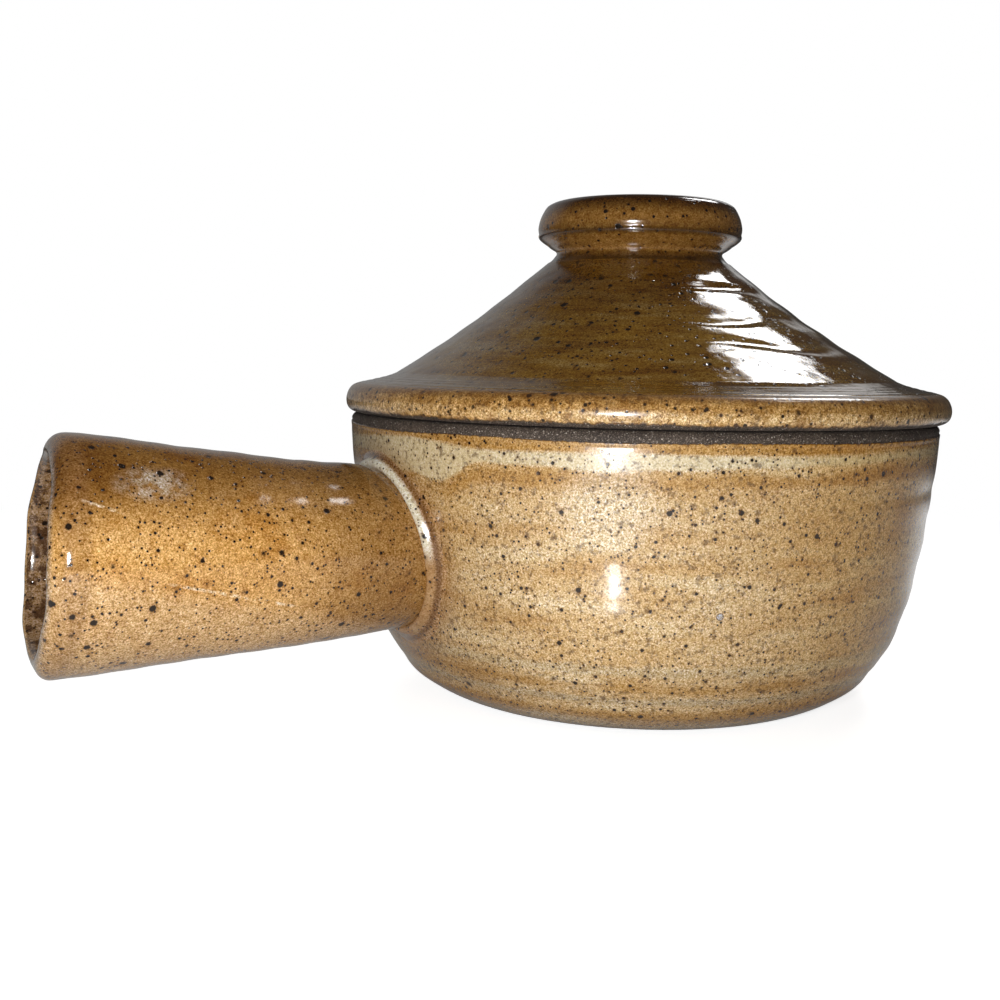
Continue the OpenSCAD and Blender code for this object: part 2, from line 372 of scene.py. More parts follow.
def make_handle():
    """The hollow handle, with a rounded lip that is blunter on the near side."""
    start = reach_to_bowl(handle_r, -SUNK)
    start_in = reach_to_bowl(lambda s: handle_r(s) - HANDLE_WALL, -SUNK)
    lip = spline([
        [-3.4, 0.0], [-2.6, -0.1], [-1.8, -0.4], [-1.1, -0.95], [-0.5, -1.75], [-0.1, -2.7],
        [0.0, -3.3], [-0.2, -3.9], [-0.75, -4.35], [-1.7, -HANDLE_WALL], [-2.6, -HANDLE_WALL],
    ], 0.35)
    blunt = 1 + 0.6 * np.clip(np.cos(PHI), 0, 1) ** 2
    end = HANDLE_REACH + lip[0, 0] * blunt
    end_in = HANDLE_REACH + lip[-1, 0] * blunt
    rows = []
    mouth = []
    for t in np.linspace(0, 1, 120):
        s = start + (end - start) * t
        rows.append(handle_point(s, handle_r(s)))
        mouth.append(LIP_START * ease(end - 3, end, s))
    for share, (ahead, inward) in zip(np.linspace(0, 1, len(lip))[1:-1], lip[1:-1]):
        s = HANDLE_REACH + ahead * blunt
        rows.append(handle_point(s, handle_r(s) + inward))
        at_lip = np.interp(share, [0, 0.62, 0.8, 1], [LIP_START, LIP_CREST, BORE, BORE])
        mouth.append(np.full(len(PHI), at_lip))
    for t in np.linspace(0, 1, 70):
        s = end_in + (start_in - end_in) * t
        rows.append(handle_point(s, handle_r(s) - HANDLE_WALL))
        mouth.append(np.full(len(PHI), BORE))
    rows = np.array(rows)
    return add_piece(
        "handle_glazed", rows.reshape(-1, 3), grid_faces(len(rows), len(PHI), True),
        "bowl", ["handle"], {"mouth": np.array(mouth).reshape(-1)},
    )


# Collar where the handle joins the bowl

def make_collar():
    """A coil of clay in the corner, a raised ridge with a hollow slope down to the bowl."""
    section = spline([
        [-0.35, 1.1], [0.0, 1.6], [0.45, 2.0], [1.0, 2.15], [1.55, 1.9], [1.95, 1.35], [2.35, 0.85],
        [2.9, 0.5], [3.5, 0.25], [4.1, 0.02], [4.3, -0.4],
    ], 0.2)
    section = np.vstack([
        section, line([4.3, -0.4], [-0.35, -0.5], 0.9), line([-0.35, -0.5], [-0.35, 1.1], 0.6),
    ])[::-1]
    foot_r = handle_r(reach_to_bowl(handle_r, 0))
    swell = 1 + 0.07 * np.sin(PHI - 0.5) + 0.04 * np.sin(4 * PHI) + 0.02 * np.sin(9 * PHI + 2)
    rows = []
    for d, h in section:
        rad = foot_r + d * (swell if d > 0 else 1)
        s = reach_to_bowl(rad, 0) + h * (swell if h > 0 else 1)
        rows.append(AXIS_START + s[:, None] * AXIS + rad[:, None] * ROUND)
    across = np.repeat(section[:, 0], len(PHI))
    rows = np.array(rows)
    return add_piece(
        "handle_collar_glazed", rows.reshape(-1, 3), grid_faces(len(rows), len(PHI), True),
        "bowl", ["handle_collar"], {"across": across},
    )


# Lid

def lid_warp(points):
    """The lid sits a little to one side, and its knob leans a little to the other."""
    lean = 0.6 - 1.7 * ease(64, 96, points[:, 2])
    return points + lean[:, None] * IMAGE_RIGHT


CONE_ROWS = 110
CONE_FOOT = np.array([LID_R - LEDGE_W, CONE_Z])
CONE_TOP = np.array([CONE_TOP_R, KNOB_Z])
CONE_SLOPE = CONE_TOP - CONE_FOOT
CONE_LENGTH = np.linalg.norm(CONE_SLOPE)
INWARD = -np.array([CONE_SLOPE[1], -CONE_SLOPE[0]]) / CONE_LENGTH

# Shallow hollows across the cone on the camera's right. Each has its distance up the cone, its
# share of the full depth, how far it wanders, and the count and phase of its waves.
HOLLOWS = [(32.8, 1.0, 0.8, 3, 0), (22.5, 0.5, 2.0, 5, 1), (12.8, 0.6, 1.6, 6, 0)]
HOLLOW_DEPTH = 0.4
HOLLOW_HALF = 2.2


def sagging(start, end, rows):
    """Points on a line along the cone that sags a little in the middle."""
    share = np.linspace(0, 1, rows)[:, None]
    return start + (end - start) * share + CONE_SAG * np.sin(math.pi * share) * INWARD


def lid_outline():
    """The hollow from its middle outwards, the edge round to the cone's foot, and the top."""
    dome_low = CONE_FOOT + LID_WALL * INWARD
    dome_high = CONE_TOP + LID_WALL * INWARD
    hollow = [line([1.2, dome_high[1]], dome_high, 1.2), sagging(dome_high, dome_low, 60)]
    edge = [
        spline([dome_low, [53.2, 65.0], [53.9, 63.2], [54.0, LID_Z]], 0.6)[1:-1],
        line([54.0, LID_Z], [63.4, LID_Z], 0.8),
        spline([
            [63.4, LID_Z], [64.8, 61.8], [65.75, 62.3], [66.25, 63.0], [66.48, 63.9], [66.45, 64.9],
            [66.15, 65.95], [65.6, 66.9], [64.7, 67.65], [63.2, 68.15], [61.5, 68.5], [59.0, 69.1],
            [57.0, 69.65], CONE_FOOT,
        ], 0.3)[:-1],
    ]
    top = [sagging(CONE_FOOT, CONE_TOP, CONE_ROWS), line(CONE_TOP - [0.4, 0], [1.2, KNOB_Z], 1.6)]
    return np.vstack(hollow), np.vstack(edge), np.vstack(top)


def cone_ripple(share):
    """Height of the throwing rings and hollows at a share of the way up the cone."""
    along = share * CONE_LENGTH
    depth = 0.05 + 0.06 * turned_from_view(75, 70)
    ripple = -depth * (1 - np.cos(2 * math.pi * (along / 9 + 0.05 * np.sin(2 * THETA))))
    ripple = ripple + 0.005 * np.cos(2 * math.pi * along / 3.1 + THETA)
    ripple = ripple * np.sin(math.pi * share) ** 0.7
    for place, part, wander, waves, phase in HOLLOWS:
        hollow = bump(along, place + wander * np.sin(waves * THETA + phase), HOLLOW_HALF)
        ripple = ripple - HOLLOW_DEPTH * part * hollow * turned_from_view(36, 34)
    return ripple


def make_lid():
    """The conical lid, hollow below, with its ledge and its thick round edge."""
    hollow, edge_part, top = lid_outline()
    outline = np.vstack([hollow, edge_part, top])
    first_cone_row = len(hollow) + len(edge_part)
    r0 = outline[:, :1] + 0 * THETA
    z0 = outline[:, 1:] + 0 * THETA
    row = np.arange(len(outline))[:, None] + 0 * THETA

    share = np.clip((row - first_cone_row) / (CONE_ROWS - 1), 0, 1)
    on_cone = (row >= first_cone_row) & (row < first_cone_row + CONE_ROWS)
    ripple = on_cone * cone_ripple(share)
    oval = 0.15 * np.cos(2 * THETA + 1.0) + 0.08 * np.cos(5 * THETA)
    r = r0 - ripple * INWARD[0] + oval * ease(30, 60, r0)
    z = z0 - ripple * INWARD[1]
    on_ledge = bump(r0, 60, 4.5) * (z0 > 67.5)
    z = z + on_ledge * 0.04 * np.cos(2 * math.pi * r0 / 1.6 + THETA)
    in_hollow = row < len(hollow)
    z = z + in_hollow * ease(5, 16, r0) * 0.25 * np.cos(2 * math.pi * r0 / 8 - THETA)

    # The glaze stops in a ragged line just above the lid's underside.
    wave = 62.5 + 0.1 * np.sin(5 * THETA) + 0.07 * np.sin(17 * THETA + 1) + 0.05 * np.sin(41 * THETA)
    on_edge = (row >= len(hollow)) & (row < first_cone_row)
    bare = on_edge * (1 - ease(wave - 0.5, wave + 0.5, z0)) * (r0 > 53)
    edge = on_edge * ease(62.0, 65.2, r0)
    return add_turned(
        "lid_glazed", r, z, (hollow[0, 1], KNOB_Z), "lid", ["lid"],
        {"bare": bare, "edge": edge, "outside": on_edge * np.ones_like(r)}, lid_warp,
    )


# Ring under the lid

def make_flange():
    """The bare ring that drops into the bowl's mouth."""
    outer_r = FLANGE_R
    inner_r = FLANGE_R - 4.2
    low = 54.65
    high = LID_Z + 0.3
    outline = spline([
        [inner_r, high], [inner_r - 0.1, 60.0], [inner_r - 0.15, 57.5], [inner_r, 55.6],
        [inner_r + 0.7, low + 0.15], [outer_r - 2.2, low], [outer_r - 1.2, low + 0.2],
        [outer_r - 0.4, 55.6], [outer_r - 0.1, 57.5], [outer_r - 0.05, 60.0], [outer_r, high],
    ], 0.45)
    outline = np.vstack([outline, line([outer_r, high], [inner_r, high], 1.4)[1:]])
    r0, z0 = outline[:, :1], outline[:, 1:]
    r = r0 + 0.06 * np.cos(2 * math.pi * z0 / 2.2 + THETA) + 0.12 * np.cos(2 * THETA)
    return add_turned(
        "lid_flange_clay", r, z0 + 0 * THETA, None, "lid", ["lid_flange"],
        {"bare": np.ones_like(r)}, lid_warp,
    )


# Knob

def make_knob():
    """The knob, with a fillet on to the cone, a small ridge, a fine crease, a rolled rim and a
    hollow top."""
    base_z = 92.4
    crease_z = 100.9
    fillet_z = 95.0
    outline = spline([
        [23.6, base_z], [22.5, 93.35], [21.4, 94.3], [20.4, 95.05], [19.5, 95.75], [18.85, 96.5],
        [18.35, 97.3], [18.6, 97.9], [19.4, 98.4], [20.0, 98.8], [20.6, 99.3], [21.5, 99.9],
        [22.3, 100.6], [22.55, 101.2], [22.42, 101.6], [22.5, 102.1], [22.58, 102.8], [22.5, 103.6],
        [22.3, 104.5], [21.95, 105.5], [21.4, 106.6], [20.7, 107.6], [19.4, 108.3], [17.9, 108.55],
        [16.7, 108.2], [15.7, 107.3], [15.0, 106.1], [14.3, 104.9], [13.2, 104.1], [11.0, 103.75],
        [7.0, 103.65], [1.2, 103.9],
    ], 0.28)
    outline = np.vstack([line([1.2, base_z], [23.6, base_z], 2.0), outline])
    r0 = outline[:, :1] + 0 * THETA
    z0 = outline[:, 1:] + 0 * THETA
    r = r0 + (0.1 * np.cos(2 * THETA + 0.5) + 0.05 * np.cos(5 * THETA + 1)) * ease(10, 18, r0)
    z = z0 + 0.12 * np.cos(THETA + 1.3) * ease(97, 104, z0)
    # Dark brown glaze in the crease, and painted shade in the neck and the fillet under the knob.
    crease_and_fillet_shade = 0.8 * bump(z0, crease_z, 0.9) * (r0 > 19)
    crease_and_fillet_shade = crease_and_fillet_shade + bump(z0, fillet_z, 2.4) * (r0 > 17) * (r0 < 22)
    ridge = ease(96.6, 98.0, z0) * (1 - ease(99.8, 100.8, z0))
    rim = bump(z0, 103.9, 2.6) * (r0 > 20)
    return add_turned(
        "lid_knob_glazed", r, z, (base_z, 103.95), "lid", ["lid_knob"],
        {"crease_and_fillet_shade": crease_and_fillet_shade, "bead": ridge + rim}, lid_warp,
    )


# Nodes

class Nodes:
    """Short calls for the nodes that the materials and the world use."""

    def __init__(self, owner, output):
        owner.use_nodes = True
        self.owner = owner
        self.tree = owner.node_tree
        self.tree.nodes.clear()
        self.output = self.tree.nodes.new(output)

    def node(self, kind, inputs, **settings):
        made = self.tree.nodes.new(kind)
        for key, value in settings.items():
            setattr(made, key, value)
        for key, value in inputs.items():
            if isinstance(value, bpy.types.NodeSocket):
                self.tree.links.new(value, made.inputs[key])
            else:
                made.inputs[key].default_value = value
        return made

    def join(self, shader):
        self.tree.links.new(shader, self.output.inputs["Surface"])

    def math(self, operation, a, b=0.0, clamp=False):
        return self.node("ShaderNodeMath", {0: a, 1: b}, operation=operation, use_clamp=clamp).outputs[0]

    def times(self, a, b):
        return self.math("MULTIPLY", a, b)

    def plus(self, a, b):
        return self.math("ADD", a, b)

    def remap(self, value, a, b, low=0.0, high=1.0):
        inputs = {"Value": value, "From Min": a, "From Max": b, "To Min": low, "To Max": high}
        return self.node("ShaderNodeMapRange", inputs, interpolation_type="SMOOTHSTEP").outputs[0]

    def mix(self, factor, a, b, blend="MIX"):
        a = a if isinstance(a, bpy.types.NodeSocket) else (*a, 1)
        b = b if isinstance(b, bpy.types.NodeSocket) else (*b, 1)
        inputs = {0: factor, 6: a, 7: b}
        made = self.node("ShaderNodeMix", inputs, data_type="RGBA", blend_type=blend, clamp_result=True)
        return made.outputs[2]

    def tint(self, factor, colour, by):
        """The colour, multiplied by another one as far as factor says."""
        return self.mix(factor, colour, by, "MULTIPLY")

    def mark(self, name):
        return self.node("ShaderNodeAttribute", {}, attribute_name=name).outputs["Fac"]

    def place(self, stretch=(1, 1, 1), shift=(0, 0, 0)):
        """Position on the piece in millimetres, stretched and then shifted."""
        where = self.node("ShaderNodeTexCoord", {}).outputs["Object"]
        scale = tuple(v / MM for v in stretch)
        inputs = {"Vector": where, "Scale": scale, "Location": shift}
        return self.node("ShaderNodeMapping", inputs).outputs[0]

    def side(self):
        """Distance in millimetres from the axis towards the camera's right."""
        inputs = {0: self.place(), 1: tuple(IMAGE_RIGHT)}
        return self.node("ShaderNodeVectorMath", inputs, operation="DOT_PRODUCT").outputs["Value"]

    def axes(self):
        return self.node("ShaderNodeSeparateXYZ", {0: self.place()}).outputs

    def noise(self, size, detail=2.0, rough=0.5, stretch=(1, 1, 1), shift=(0, 0, 0)):
        inputs = {
            "Vector": self.place(stretch, shift), "Scale": 1.0 / size, "Detail": detail, "Roughness": rough,
        }
        return self.node("ShaderNodeTexNoise", inputs).outputs[0]

    def spot(self, centre, halves):
        """1 in the middle of an oval spot, falling to 0 at its rim."""
        stretch = [1 / h for h in halves]
        shift = [-c / h for c, h in zip(centre, halves)]
        inputs = {0: self.place(stretch, shift)}
        out = self.node("ShaderNodeVectorMath", inputs, operation="LENGTH").outputs["Value"]
        return self.remap(out, 1.0, 0.3)

    def scratch(self, start, end, width):
        """A fine line on the near side between two points given by x and z."""
        x, y, z = self.axes()[0:3]
        lean = (end[1] - start[1]) / (end[0] - start[0])
        height = self.plus(self.times(x, -lean), lean * start[0] - start[1])
        off = self.math("ABSOLUTE", self.plus(z, height))
        on = self.times(self.remap(off, width, 0.3 * width), self.remap(y, 2, -2))
        ends = self.times(self.remap(x, start[0], start[0] + 3), self.remap(x, end[0], end[0] - 3))
        return self.times(on, ends)

    def specks(self, cell, radius, share, shift):
        """Round ragged spots of mixed size: (core, halo), each from 0 to 1."""
        where = self.place(shift=shift)
        wobble = self.node("ShaderNodeTexNoise", {"Vector": where, "Scale": 1.6 / radius, "Detail": 1.0})
        inputs = {0: wobble.outputs["Color"], 1: (0.5 * radius,) * 3}
        push = self.node("ShaderNodeVectorMath", inputs, operation="MULTIPLY").outputs[0]
        moved = self.node("ShaderNodeVectorMath", {0: where, 1: push}, operation="ADD").outputs[0]
        spots = self.node("ShaderNodeTexVoronoi", {"Vector": moved, "Scale": 1.0 / cell})
        colour = self.node("ShaderNodeSeparateColor", {0: spots.outputs["Color"]})
        size = self.times(self.remap(colour.outputs[0], 0, 1, 0.45, 1.0), radius / cell)
        here = self.math("LESS_THAN", colour.outputs[1], share)
        ratio = self.math("DIVIDE", spots.outputs["Distance"], size)
        core = self.times(self.remap(ratio, 1.15, 0.75), here)
        halo = self.times(self.remap(ratio, 2.2, 0.9), here)
        return core, halo

    def finish(self, colour, roughness, height, coat=0.0):
        """Joins the colour, the roughness and the surface height in millimetres to the output.
        coat is the share of a thin smooth skin on the glaze."""
        bumped = self.node("ShaderNodeBump", {"Strength": 1.0, "Distance": MM, "Height": height})
        inputs = {
            "Base Color": colour, "Roughness": roughness, "IOR": 1.5, "Normal": bumped.outputs[0],
            "Coat Weight": coat, "Coat Roughness": 0.06, "Coat Normal": bumped.outputs[0],
        }
        self.join(self.node("ShaderNodeBsdfPrincipled", inputs).outputs[0])
        return self.owner


def new_material(name):
    return Nodes(bpy.data.materials.new(name), "ShaderNodeOutputMaterial")


# Bare clay

def clay_colour(s):
    """Bare stoneware, dark grey-brown with pale and black grains."""
    dark, brown = (0.042, 0.029, 0.021), (0.068, 0.048, 0.034)
    pale, black = (0.36, 0.29, 0.23), (0.01, 0.007, 0.005)
    sand = (0.5, 0.43, 0.36)
    patch = s.noise(9, 2, 0.5, shift=(3, 8, 2))
    colour = s.mix(s.remap(patch, 0.3, 0.7), dark, brown)
    grain = s.noise(0.3, 3, 0.8)
    colour = s.mix(s.remap(grain, 0.54, 0.7), colour, pale)
    colour = s.mix(s.remap(grain, 0.48, 0.36), colour, black)
    spot, _ = s.specks(1.3, 0.26, 0.5, (7, 1, 4))
    colour = s.mix(spot, colour, black)
    grit, _ = s.specks(0.55, 0.15, 0.5, (3, 2, 6))
    return s.mix(s.times(grit, 0.8), colour, sand)


def clay_height(s):
    """The rough surface of bare clay, in millimetres."""
    return s.times(s.noise(0.55, 3, 0.7, shift=(2, 2, 7)), 0.14)


def make_clay(name):
    s = new_material(name)
    return s.finish(clay_colour(s), 0.75, clay_height(s))


# Glaze

GLAZE_COAT = 0.6
IRON = (0.012, 0.007, 0.004)


def glaze(name, base, amber, cream, specks, gloss, paint, bare=False):
    """Speckled stoneware glaze. base, amber and cream are its main colours and specks its iron spots.
    paint adds what belongs to one piece. It returns the colour, the roughness, and the strengths of
    the grain, of the mottling and of the waves in the glaze."""
    s = new_material(name)
    mottle = s.noise(13, 3, 0.55, stretch=(0.55, 0.55, 1.3))
    cloud = s.noise(5.5, 2, 0.5, stretch=(0.6, 0.6, 1.2), shift=(40, 3, 9))
    colour = s.mix(s.remap(mottle, 0.38, 0.66, 0.0, 0.7), base, amber)
    colour = s.mix(s.remap(cloud, 0.5, 0.75, 0.0, 0.35), colour, cream)
    colour, roughness, grit, flecks, waves = paint(s, colour, gloss)

    fleck = s.noise(1.5, 3, 0.7, shift=(7, 3, 5))
    colour = s.tint(s.times(s.remap(fleck, 0.5, 0.32), flecks), colour, (0.68, 0.57, 0.38))
    colour = s.tint(s.times(s.remap(fleck, 0.5, 0.68), flecks), colour, (1.25, 1.32, 1.5))
    grain = s.noise(0.34, 2, 0.75)
    colour = s.tint(s.times(s.remap(grain, 0.5, 0.36), grit), colour, (0.5, 0.37, 0.08))
    colour = s.tint(s.times(s.remap(grain, 0.51, 0.68), grit), colour, (1.65, 1.95, 3.0))
    dust = s.noise(0.5, 1, 0.5, shift=(5, 9, 1))
    colour = s.tint(s.times(s.remap(dust, 0.6, 0.72), grit), colour, (0.45, 0.34, 0.2))
    peel = s.noise(2.4, 2, 0.5, shift=(1, 2, 3))
    peel_depth = s.plus(s.times(waves, -0.06), 0.04)
    height = s.plus(s.times(grain, 0.012), s.times(peel, peel_depth))
    broad = s.noise(9, 2, 0.5, stretch=(0.8, 0.8, 1.4), shift=(4, 12, 7))
    height = s.plus(height, s.times(broad, waves))
    coat = GLAZE_COAT
    for cell, radius, share, shift in specks:
        core, halo = s.specks(cell, radius, share, shift)
        colour = s.tint(s.times(halo, 0.35), colour, (0.5, 0.32, 0.18))
        colour = s.mix(s.times(core, 0.98), colour, IRON)
        height = s.plus(height, s.times(core, -0.03))
    if bare:
        ragged = s.plus(s.mark("bare"), s.remap(s.noise(1.1, 2, 0.6), 0.25, 0.75, -0.3, 0.3))
        thin_edge = s.times(s.remap(ragged, 0.02, 0.4), s.mark("outside"))
        colour = s.mix(s.times(thin_edge, 0.85), colour, (0.085, 0.034, 0.011))
        clay = s.remap(ragged, 0.42, 0.58)
        colour = s.mix(clay, colour, clay_colour(s))
        roughness = s.math("ADD", roughness, s.times(clay, 0.5), True)
        height = s.plus(height, s.times(clay, clay_height(s)))
        coat = s.remap(clay, 0.0, 1.0, GLAZE_COAT, 0.0)
    return s.finish(colour, roughness, height, coat)


def paint_bowl(s, colour, gloss):
    """Brown under the bare rim, a cream ring below it, bands down the wall and one pit, with painted shade
    at the sides and a painted highlight on the front.
    """
    pale_tan = (0.78, 0.62, 0.37)
    break_brown = (0.46, 0.245, 0.055)
    band_tan = (0.56, 0.45, 0.27)
    pool_cream = (0.76, 0.66, 0.45)
    cream_and_sheen = (0.8, 0.66, 0.44)
    pit_brown = (0.2, 0.13, 0.08)
    pit_grey = (0.42, 0.38, 0.33)
    ragged = s.noise(4.5, 3, 0.6, stretch=(0.5, 0.5, 0.8), shift=(9, 9, 9))
    ragged = s.remap(ragged, 0.25, 0.75, -0.25, 0.25)
    band = s.noise(8, 3, 0.55, stretch=(0.22, 0.22, 1.5), shift=(2, 5, 4))
    colour = s.mix(s.remap(band, 0.5, 0.68, 0.0, 0.65), colour, pale_tan)
    colour = s.tint(s.remap(band, 0.5, 0.34, 0.0, 0.8), colour, (0.8, 0.68, 0.48))
    brown = s.remap(s.plus(s.mark("brown"), ragged), 0.15, 0.95)
    colour = s.mix(s.times(brown, 0.8), colour, break_brown)
    pale = s.remap(s.plus(s.mark("pale"), ragged), 0.3, 1.0)
    colour = s.mix(s.times(pale, 0.6), colour, band_tan)
    pool = s.remap(s.plus(s.mark("pool"), s.times(ragged, 0.4)), 0.15, 0.75)
    colour = s.mix(s.times(pool, 0.92), colour, pool_cream)
    ridge = s.remap(s.mark("relief"), -0.12, 0.0)
    colour = s.tint(s.times(ridge, 0.2), colour, (0.8, 0.7, 0.52))
    colour = s.tint(s.times(s.mark("joint"), 0.75), colour, (0.6, 0.44, 0.27))
    side = s.side()
    # Painted shade: the wall is darker on the camera's left and browner on its right.
    colour = s.tint(s.remap(side, -12, -36), colour, (0.87, 0.83, 0.74))
    colour = s.tint(s.remap(side, 15, 45), colour, (0.97, 0.84, 0.58))
    # Painted highlight: the lamp's broad soft sheen on the front of the wall, in cream.
    painted_sheen = s.spot((-41, -49, 47), (13, 13, 10))
    colour = s.mix(s.times(painted_sheen, 0.6), colour, cream_and_sheen)
    pit = s.spot((-21.0, -56.9, 27.2), (0.95, 0.95, 0.95))
    colour = s.mix(s.remap(pit, 0.05, 0.35), colour, pit_brown)
    colour = s.mix(s.remap(pit, 0.35, 0.8), colour, pit_grey)
    grit = s.remap(s.mark("pool"), 0.2, 0.8, 0.8, 0.35)
    flecks, waves = 0.0, 0.0
    return colour, gloss, grit, flecks, waves


# The two scratches on the handle, each from one x and z to another
SCRATCHES = [((-128.5, 49.3), (-118.0, 45.6)), ((-114.0, 34.1), (-86.8, 27.0))]


def paint_handle(s, colour, gloss):
    """Browner along the top and towards the bowl, pinkish below, and dark in the bore."""
    top_brown = (0.26, 0.115, 0.018)
    joint_brown = (0.28, 0.135, 0.03)
    pinkish = (0.72, 0.46, 0.21)
    cream_and_sheen = (0.6, 0.5, 0.36)
    scratched = (0.9, 0.72, 0.47)
    thin_brown = (0.3, 0.15, 0.05)
    pale_crest = (0.42, 0.34, 0.25)
    x, _, z = s.axes()[0:3]
    colour = s.mix(s.remap(z, 40, 53, 0.0, 0.95), colour, top_brown)
    colour = s.mix(s.remap(x, -100, -68, 0.0, 0.85), colour, joint_brown)
    cloud = s.noise(7, 3, 0.6, stretch=(0.6, 1, 1), shift=(5, 2, 9))
    colour = s.tint(s.remap(cloud, 0.5, 0.34, 0.0, 0.8), colour, (0.8, 0.68, 0.45))
    corner = s.spot((-128, -12, 52), (16, 16, 9))
    colour = s.tint(s.times(corner, 0.8), colour, (0.6, 0.5, 0.34))
    below_line = s.remap(s.plus(z, s.times(x, 0.25)), 6.0, 1.5)
    colour = s.mix(s.times(below_line, 0.75), colour, pinkish)
    # A pale patch on the top, partly cream glaze and partly painted reflection.
    cloudy = s.remap(s.noise(3.0, 3, 0.65, shift=(8, 1, 1)), 0.35, 0.6)
    pale = s.times(s.spot((-114, -15, 50.8), (9, 9, 3.8)), cloudy)
    colour = s.mix(s.times(pale, 0.7), colour, cream_and_sheen)
    broken = s.remap(s.noise(1.8, 2, 0.6, shift=(2, 7, 1)), 0.4, 0.6)
    for start, end in SCRATCHES:
        line_on = s.times(s.scratch(start, end, 0.4), broken)
        colour = s.mix(s.times(line_on, 0.7), colour, scratched)
    mouth = s.mark("mouth")
    before_lip = s.times(s.remap(mouth, 0.1, 0.5), s.remap(mouth, 0.85, 0.6))
    colour = s.mix(s.times(before_lip, 0.45), colour, thin_brown)
    # Pale grey along the lip's crest.
    crest = s.times(s.remap(mouth, 0.8, 0.95), s.remap(mouth, 1.15, 1.0))
    colour = s.mix(s.times(crest, 0.6), colour, pale_crest)
    dirt = s.noise(2.2, 4, 0.7, shift=(4, 4, 4))
    bore_colour = s.mix(s.remap(dirt, 0.42, 0.58), (0.09, 0.042, 0.017), (0.36, 0.22, 0.11))
    colour = s.mix(s.remap(mouth, 1.15, 1.6), colour, bore_colour)
    roughness = s.remap(mouth, 1.2, 2.0, gloss, 0.15)
    grit, flecks, waves = 0.85, 0.55, 0.12
    return colour, roughness, grit, flecks, waves


def paint_collar(s, colour, gloss):
    """A cream ridge on the upper half that turns tan below, between two brown lines."""
    ridge_cream = (0.74, 0.67, 0.5)
    outer_brown = (0.17, 0.075, 0.023)
    inner_brown = (0.1, 0.048, 0.017)
    z = s.axes()[2]
    across = s.mark("across")
    ridge = s.times(s.remap(across, 2.3, 1.7), s.remap(across, -0.15, 0.3))
    colour = s.mix(s.times(ridge, s.remap(z, 33, 38)), colour, ridge_cream)
    hollow = s.times(s.remap(across, 1.9, 2.4), s.remap(across, 3.6, 2.6))
    colour = s.mix(s.times(hollow, 0.85), colour, outer_brown)
    colour = s.mix(s.times(s.remap(across, 0.1, -0.3), 0.8), colour, inner_brown)
    grit = s.remap(ridge, 0.0, 1.0, 0.9, 0.4)
    flecks, waves = 0.4, 0.0
    return colour, gloss, grit, flecks, waves


def paint_lid(s, colour, gloss):
    """Faint streaks round the cone, and an amber edge with a pale lower part."""
    streak_olive = (0.28, 0.172, 0.048)
    edge_brown = (0.25, 0.115, 0.026)
    edge_pale = (0.68, 0.46, 0.2)
    streak = s.noise(2.6, 4, 0.7, stretch=(0.16, 0.16, 1.7), shift=(6, 1, 2))
    colour = s.mix(s.remap(streak, 0.5, 0.66, 0.0, 0.8), colour, streak_olive)
    colour = s.tint(s.remap(streak, 0.5, 0.36, 0.0, 0.8), colour, (0.62, 0.5, 0.4))
    z = s.axes()[2]
    colour = s.tint(s.remap(z, 78, 93, 0.0, 0.9), colour, (0.58, 0.46, 0.33))
    edge = s.mark("edge")
    amber = s.mix(s.remap(s.noise(6, 2), 0.35, 0.65), (0.36, 0.185, 0.045), (0.5, 0.285, 0.085))
    amber = s.mix(s.remap(z, 65.9, 67.3, 0.0, 0.7), amber, edge_brown)
    patchy = s.remap(s.noise(4.0, 3, 0.6, shift=(3, 3, 8)), 0.3, 0.6, 0.2, 0.8)
    pale = s.times(s.times(s.remap(z, 65.4, 64.4), s.remap(z, 62.4, 63.2)), patchy)
    amber = s.mix(pale, amber, edge_pale)
    colour = s.mix(edge, colour, amber)
    roughness = s.remap(edge, 0.2, 0.8, gloss, 0.3)
    grit = s.remap(edge, 0.2, 0.8, 0.8, 1.0)
    flecks = s.remap(edge, 0.2, 0.8, 0.4, 1.0)
    waves = s.remap(edge, 0.0, 0.3, 0.4, 0.0)
    return colour, roughness, grit, flecks, waves


def paint_knob(s, colour, gloss):
    """Amber on the ridge and the rim, a dark brown glaze line in the crease, and painted shade in the neck
    and the fillet under the knob.
    """
    bead_amber = (0.29, 0.138, 0.03)
    crease_and_shade_brown = (0.035, 0.014, 0.004)
    z = s.axes()[2]
    colour = s.mix(s.times(s.mark("bead"), 0.8), colour, bead_amber)
    colour = s.mix(s.times(s.mark("crease_and_fillet_shade"), 0.9), colour, crease_and_shade_brown)
    colour = s.tint(s.remap(z, 105.2, 107.6), colour, (0.4, 0.32, 0.26))
    grit, flecks, waves = 0.7, 0.8, 0.05
    return colour, gloss, grit, flecks, waves


# Iron spots in each glaze, as cell size, radius, share of the cells and shift of the pattern
BOWL_SPECKS = [(0.9, 0.24, 0.5, (0, 0, 0)), (1.8, 0.38, 0.6, (11, 5, 2)), (4.0, 0.6, 0.6, (3, 17, 8))]
HANDLE_SPECKS = [(0.85, 0.24, 0.5, (2, 0, 5)), (1.6, 0.38, 0.6, (1, 5, 2)), (3.4, 0.7, 0.6, (3, 7, 8))]
LID_SPECKS = [(1.2, 0.34, 0.45, (4, 6, 1)), (2.2, 0.52, 0.55, (1, 8, 2)), (4.6, 0.8, 0.5, (6, 2, 8))]

